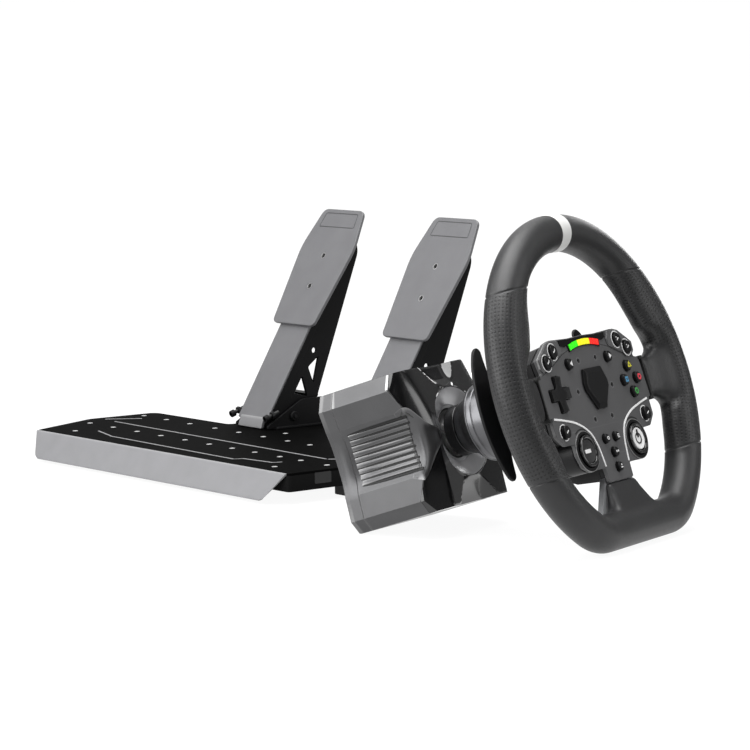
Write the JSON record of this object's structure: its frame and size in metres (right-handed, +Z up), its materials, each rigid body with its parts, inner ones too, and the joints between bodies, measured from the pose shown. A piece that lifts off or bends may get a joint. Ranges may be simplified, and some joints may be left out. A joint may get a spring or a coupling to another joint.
{
  "type": "racing wheel",
  "caption": "Direct-drive racing wheel set: D-shaped leather rim with buttons and paddles on a quick-release wheel base, with a sprung two-pedal heel plate.",
  "frame": {"origin": "centre of the whole set's footprint box, on the floor", "axes": "+Z up, +Y away from the driver along the set's longest side, +X to the driver's right; the wheel faces -Y and leans back 18 degrees"},
  "size_m": [0.5326, 0.748, 0.2547],
  "materials": {
    "housing_metal": "satin",
    "gloss_black": "gloss",
    "black_plastic": "matte",
    "black_metal": "satin black",
    "motor_winding": "wound steel",
    "steel": "machined",
    "core_aluminium": "cast",
    "silver_metal": "satin",
    "circuit_board": "board",
    "grip_leather": "stitched, part perforated",
    "white_band": "smooth",
    "panel_grey": "satin",
    "lens_white": "lens",
    "button_yellow": "gloss",
    "button_blue": "gloss",
    "button_red": "gloss",
    "button_green": "gloss",
    "pedal_grey": "satin",
    "lip_grey": "satin",
    "foot_rubber": "matte"
  },
  "bodies": {
    "base": {"base_housing": "housing_metal", "front_cover": "gloss_black", "rear_cover": "black_plastic", "left_fins": "housing_metal", "right_fins": "housing_metal", "motor_can": "motor_winding", "motor_front_plate": "steel", "front_bearing": "steel", "rear_bearing": "steel", "driver_board": "circuit_board", "heel_plate": "black_metal", "heel_lip": "lip_grey", "left_foot": "foot_rubber", "right_foot": "foot_rubber", "brake_mount": "black_metal", "throttle_mount": "black_metal", "brake_spring": "steel", "throttle_spring": "steel"},
    "steering": {"motor_rotor": "steel", "qr_spool": "steel", "qr_cone": "silver_metal", "wheel_adapter": "black_metal", "paddle_bracket": "black_metal", "rim_frame": "core_aluminium", "top_grip": "grip_leather", "top_marker": "white_band", "left_grip": "grip_leather", "right_grip": "grip_leather", "bottom_grip": "grip_leather", "front_plate": "panel_grey", "centre_cap": "gloss_black", "rev_light_lens": "lens_white", "button_board": "circuit_board", "rim_housing": "black_plastic"},
    "collar": {"qr_collar": "black_metal"},
    "left_shifter": {"left_paddle": "black_metal"},
    "right_shifter": {"right_paddle": "black_metal"},
    "brake_pedal": {"brake_lever": "pedal_grey", "brake_face": "pedal_grey"},
    "throttle_pedal": {"throttle_lever": "pedal_grey", "throttle_face": "pedal_grey"},
    "dpad": {"direction_pad": "black_plastic"},
    "button_n_cap": {"button_n": "black_plastic"},
    "button_p_cap": {"button_p": "black_plastic"},
    "button_top_cap": {"button_top": "button_yellow"},
    "button_left_cap": {"button_left": "button_blue"},
    "button_right_cap": {"button_right": "button_red"},
    "button_bottom_cap": {"button_bottom": "button_green"},
    "upper_button_l1_cap": {"upper_button_l1": "black_plastic"},
    "upper_button_l2_cap": {"upper_button_l2": "black_plastic"},
    "upper_button_r1_cap": {"upper_button_r1": "black_plastic"},
    "upper_button_r2_cap": {"upper_button_r2": "black_plastic"},
    "lower_button_l_cap": {"lower_button_l": "black_plastic"},
    "lower_button_r_cap": {"lower_button_r": "black_plastic"},
    "centre_button_1_cap": {"centre_button_1": "black_plastic"},
    "centre_button_2_cap": {"centre_button_2": "black_plastic"},
    "centre_button_3_cap": {"centre_button_3": "black_plastic"},
    "centre_button_4_cap": {"centre_button_4": "black_plastic"},
    "round_button_l_cap": {"round_button_l": "black_plastic"},
    "round_button_r_cap": {"round_button_r": "black_plastic"}
  },
  "joints": [
    {"name": "steering_spin", "type": "hinge", "parent": "base", "child": "steering", "pos_m": [-0.12727, -0.32539, 0.11932], "axis": [0, -0.9511, 0.309], "continuous": true},
    {"name": "collar_slide", "type": "slide", "parent": "steering", "child": "collar", "axis": [0, 0.9511, -0.309], "range_m": [0, 0.004], "stiffness_N_per_m": 800, "springref_m": -0.002},
    {"name": "left_paddle_pull", "type": "hinge", "parent": "steering", "child": "left_shifter", "pos_m": [-0.16027, -0.28022, 0.10464], "axis": [0, 0.309, 0.9511], "range_deg": [0, 5], "stiffness_Nm_per_rad": 4, "springref_deg": -5.73},
    {"name": "right_paddle_pull", "type": "hinge", "parent": "steering", "child": "right_shifter", "pos_m": [-0.09427, -0.28022, 0.10464], "axis": [0, -0.309, -0.9511], "range_deg": [0, 5], "stiffness_Nm_per_rad": 4, "springref_deg": -5.73},
    {"name": "brake_press", "type": "hinge", "parent": "base", "child": "brake_pedal", "pos_m": [0.1762, 0.18138, 0.038], "axis": [0.3437, 0.9391, 0], "range_deg": [0, 12], "stiffness_Nm_per_rad": 80, "springref_deg": -2.86, "deforming": ["brake_spring"]},
    {"name": "throttle_press", "type": "hinge", "parent": "base", "child": "throttle_pedal", "pos_m": [0.10388, 0.01287, 0.038], "axis": [0.3437, 0.9391, 0], "range_deg": [0, 18], "stiffness_Nm_per_rad": 20, "springref_deg": -6.88, "deforming": ["throttle_spring"]},
    {"name": "dpad_tilt", "type": "hinge", "parent": "steering", "child": "dpad", "pos_m": [-0.18377, -0.32366, 0.11981], "axis": [1, 0, 0], "range_deg": [-3, 3], "stiffness_Nm_per_rad": 0.3},
    {"name": "button_n_press", "type": "slide", "parent": "steering", "child": "button_n_cap", "axis": [0, 0.9511, -0.309], "range_m": [0, 0.0012], "stiffness_N_per_m": 600, "springref_m": -0.0006},
    {"name": "button_p_press", "type": "slide", "parent": "steering", "child": "button_p_cap", "axis": [0, 0.9511, -0.309], "range_m": [0, 0.0012], "stiffness_N_per_m": 600, "springref_m": -0.0006},
    {"name": "button_top_press", "type": "slide", "parent": "steering", "child": "button_top_cap", "axis": [0, 0.9511, -0.309], "range_m": [0, 0.0012], "stiffness_N_per_m": 600, "springref_m": -0.0006},
    {"name": "button_left_press", "type": "slide", "parent": "steering", "child": "button_left_cap", "axis": [0, 0.9511, -0.309], "range_m": [0, 0.0012], "stiffness_N_per_m": 600, "springref_m": -0.0006},
    {"name": "button_right_press", "type": "slide", "parent": "steering", "child": "button_right_cap", "axis": [0, 0.9511, -0.309], "range_m": [0, 0.0012], "stiffness_N_per_m": 600, "springref_m": -0.0006},
    {"name": "button_bottom_press", "type": "slide", "parent": "steering", "child": "button_bottom_cap", "axis": [0, 0.9511, -0.309], "range_m": [0, 0.0012], "stiffness_N_per_m": 600, "springref_m": -0.0006},
    {"name": "upper_button_l1_press", "type": "slide", "parent": "steering", "child": "upper_button_l1_cap", "axis": [0, 0.9511, -0.309], "range_m": [0, 0.001], "stiffness_N_per_m": 600, "springref_m": -0.0006},
    {"name": "upper_button_l2_press", "type": "slide", "parent": "steering", "child": "upper_button_l2_cap", "axis": [0, 0.9511, -0.309], "range_m": [0, 0.001], "stiffness_N_per_m": 600, "springref_m": -0.0006},
    {"name": "upper_button_r1_press", "type": "slide", "parent": "steering", "child": "upper_button_r1_cap", "axis": [0, 0.9511, -0.309], "range_m": [0, 0.001], "stiffness_N_per_m": 600, "springref_m": -0.0006},
    {"name": "upper_button_r2_press", "type": "slide", "parent": "steering", "child": "upper_button_r2_cap", "axis": [0, 0.9511, -0.309], "range_m": [0, 0.001], "stiffness_N_per_m": 600, "springref_m": -0.0006},
    {"name": "lower_button_l_press", "type": "slide", "parent": "steering", "child": "lower_button_l_cap", "axis": [0, 0.9511, -0.309], "range_m": [0, 0.001], "stiffness_N_per_m": 600, "springref_m": -0.0006},
    {"name": "lower_button_r_press", "type": "slide", "parent": "steering", "child": "lower_button_r_cap", "axis": [0, 0.9511, -0.309], "range_m": [0, 0.001], "stiffness_N_per_m": 600, "springref_m": -0.0006},
    {"name": "centre_button_1_press", "type": "slide", "parent": "steering", "child": "centre_button_1_cap", "axis": [0, 0.9511, -0.309], "range_m": [0, 0.0012], "stiffness_N_per_m": 600, "springref_m": -0.0006},
    {"name": "centre_button_2_press", "type": "slide", "parent": "steering", "child": "centre_button_2_cap", "axis": [0, 0.9511, -0.309], "range_m": [0, 0.0012], "stiffness_N_per_m": 600, "springref_m": -0.0006},
    {"name": "centre_button_3_press", "type": "slide", "parent": "steering", "child": "centre_button_3_cap", "axis": [0, 0.9511, -0.309], "range_m": [0, 0.0012], "stiffness_N_per_m": 600, "springref_m": -0.0006},
    {"name": "centre_button_4_press", "type": "slide", "parent": "steering", "child": "centre_button_4_cap", "axis": [0, 0.9511, -0.309], "range_m": [0, 0.0012], "stiffness_N_per_m": 600, "springref_m": -0.0006},
    {"name": "round_button_l_press", "type": "slide", "parent": "steering", "child": "round_button_l_cap", "axis": [0, 0.9511, -0.309], "range_m": [0, 0.0015], "stiffness_N_per_m": 600, "springref_m": -0.0006},
    {"name": "round_button_r_press", "type": "slide", "parent": "steering", "child": "round_button_r_cap", "axis": [0, 0.9511, -0.309], "range_m": [0, 0.0015], "stiffness_N_per_m": 600, "springref_m": -0.0006}
  ]
}
